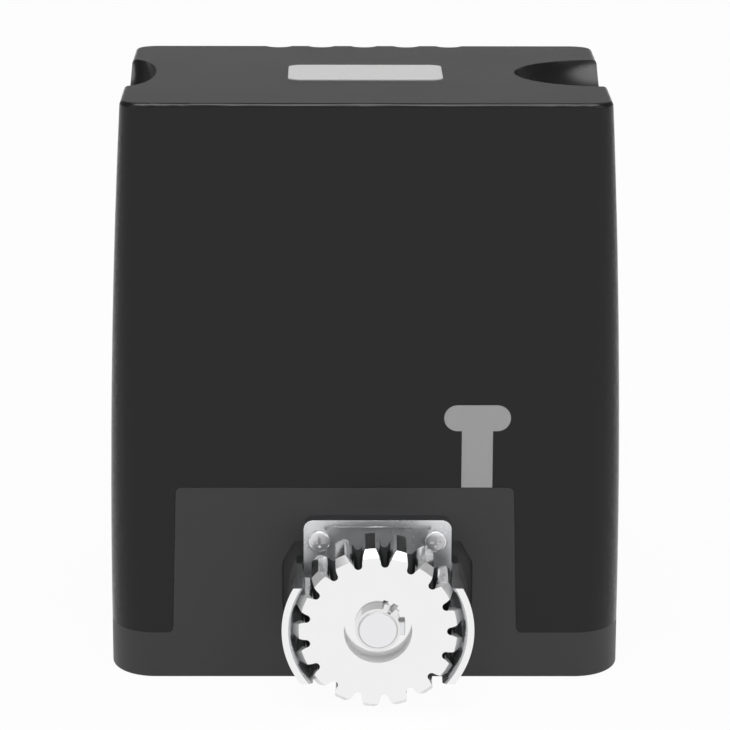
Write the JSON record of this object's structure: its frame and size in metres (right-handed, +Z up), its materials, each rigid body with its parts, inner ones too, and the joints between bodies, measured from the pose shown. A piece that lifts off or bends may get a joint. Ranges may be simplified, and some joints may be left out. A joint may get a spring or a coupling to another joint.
{
  "type": "sliding gate motor",
  "caption": "Sliding gate motor: hooded worm-gear drive on a bolt-down base, with an outside pinion in a guard, a limit sensor window and a manual release lever.",
  "frame": {"origin": "middle of the base's footprint on the mounting plane, midway between the four foundation bolt holes", "axes": "+X along the gate, to the right seen from the pinion side; +Y from the pinion side to the release side; +Z up"},
  "size_m": [0.231, 0.226, 0.2712],
  "materials": {
    "cover_abs": "fine-grained moulded ABS",
    "window_abs": "satin moulded ABS",
    "plate_silver": "satin",
    "base_nylon": "satin moulded nylon",
    "black_nylon": "satin",
    "guard_zinc": "bright plated",
    "zinc_steel": "zinc plated",
    "pinion_steel": "machined and zinc plated",
    "bright_steel": "ground",
    "spring_steel": "phosphated",
    "bearing_steel": "ground",
    "cast_aluminium": "as cast",
    "black_rubber": "matt",
    "lamination_steel": "stacked sheet",
    "enamelled_copper": "enamelled wire",
    "black_abs": "moulded",
    "board_green": "solder mask",
    "relay_blue": "moulded",
    "terminal_green": "moulded",
    "fuse_glass": "clear",
    "capacitor_sleeve": "sleeve",
    "button_red": "moulded",
    "capacitor_white": "moulded",
    "coil_tape": "polyester tape",
    "bronze": "cut",
    "lever_grey": "moulded",
    "lock_zinc": "plated"
  },
  "bodies": {
    "base": {"base_housing": "base_nylon", "cable_gland": "black_nylon", "gear_guard": "guard_zinc", "guard_screws": "zinc_steel", "gearbox_case": "cast_aluminium", "gearbox_case_screws": "zinc_steel", "gearbox_cover": "cast_aluminium", "gearbox_cover_screws": "zinc_steel", "rear_shaft_bearing": "bearing_steel", "front_shaft_bearing": "bearing_steel", "oil_seal": "black_rubber", "worm_lower_bearing": "bearing_steel", "worm_upper_bearing": "bearing_steel", "motor_top_bearing": "bearing_steel", "motor_housing": "cast_aluminium", "stator_core": "lamination_steel", "stator_windings": "enamelled_copper", "motor_end_cap": "cast_aluminium", "motor_tie_bolts": "zinc_steel", "board_tray": "black_abs", "tray_screws": "zinc_steel", "circuit_board": "board_green", "board_screws": "zinc_steel", "relays": "relay_blue", "terminal_blocks": "terminal_green", "board_fuse": "fuse_glass", "board_capacitors": "capacitor_sleeve", "button_switch": "black_abs", "limit_sensor": "black_abs", "run_capacitor": "capacitor_white", "capacitor_clamp": "black_abs", "clamp_screw": "zinc_steel", "transformer_core": "lamination_steel", "transformer_winding": "coil_tape", "transformer_bracket": "zinc_steel", "transformer_screws": "zinc_steel"},
    "cover": {"cover_shell": "cover_abs", "cover_screws": "zinc_steel", "clamp_nuts": "zinc_steel", "sensor_window": "window_abs", "name_plate": "plate_silver"},
    "output": {"output_shaft": "bright_steel", "drive_pinion": "pinion_steel", "shaft_key": "bright_steel", "clip_spacer": "bright_steel", "pinion_circlip": "spring_steel", "worm_wheel": "bronze"},
    "rotor": {"worm_shaft": "bright_steel", "rotor_core": "lamination_steel"},
    "clutch": {"clutch_ring": "bright_steel", "cross_pin": "bright_steel", "pull_rod": "bright_steel"},
    "release": {"release_lever": "lever_grey"},
    "lock": {"lock_barrel": "lock_zinc"},
    "learn": {"learn_button": "button_red"}
  },
  "joints": [
    {"name": "cover_lift", "type": "slide", "parent": "base", "child": "cover", "axis": [0, 0, 1], "range_m": [0, 0.28]},
    {"name": "output_spin", "type": "hinge", "parent": "base", "child": "output", "pos_m": [0.0055, 0, 0.04], "axis": [0, 1, 0], "continuous": true},
    {"name": "rotor_spin", "type": "hinge", "parent": "base", "child": "rotor", "pos_m": [-0.0295, -0.025, 0], "axis": [0, 0, 1], "continuous": true},
    {"name": "release_turn", "type": "hinge", "parent": "base", "child": "release", "pos_m": [0.0055, 0, 0.04], "axis": [0, 1, 0], "range_deg": [0, 90]},
    {"name": "clutch_slide", "type": "slide", "parent": "output", "child": "clutch", "axis": [0, 1, 0], "range_m": [0, 0.005]},
    {"name": "lock_turn", "type": "hinge", "parent": "release", "child": "lock", "pos_m": [-0.0205, 0, 0.04], "axis": [0, 1, 0], "range_deg": [0, 90]},
    {"name": "learn_press", "type": "slide", "parent": "base", "child": "learn", "axis": [0, -1, 0], "range_m": [0, 0.001], "stiffness_N_per_m": 600}
  ],
  "couplings": [
    {"joint": "rotor_spin", "follows": "output_spin", "ratio": -26},
    {"joint": "release_turn", "follows": "clutch_slide", "rad_per_m": 314.16}
  ]
}
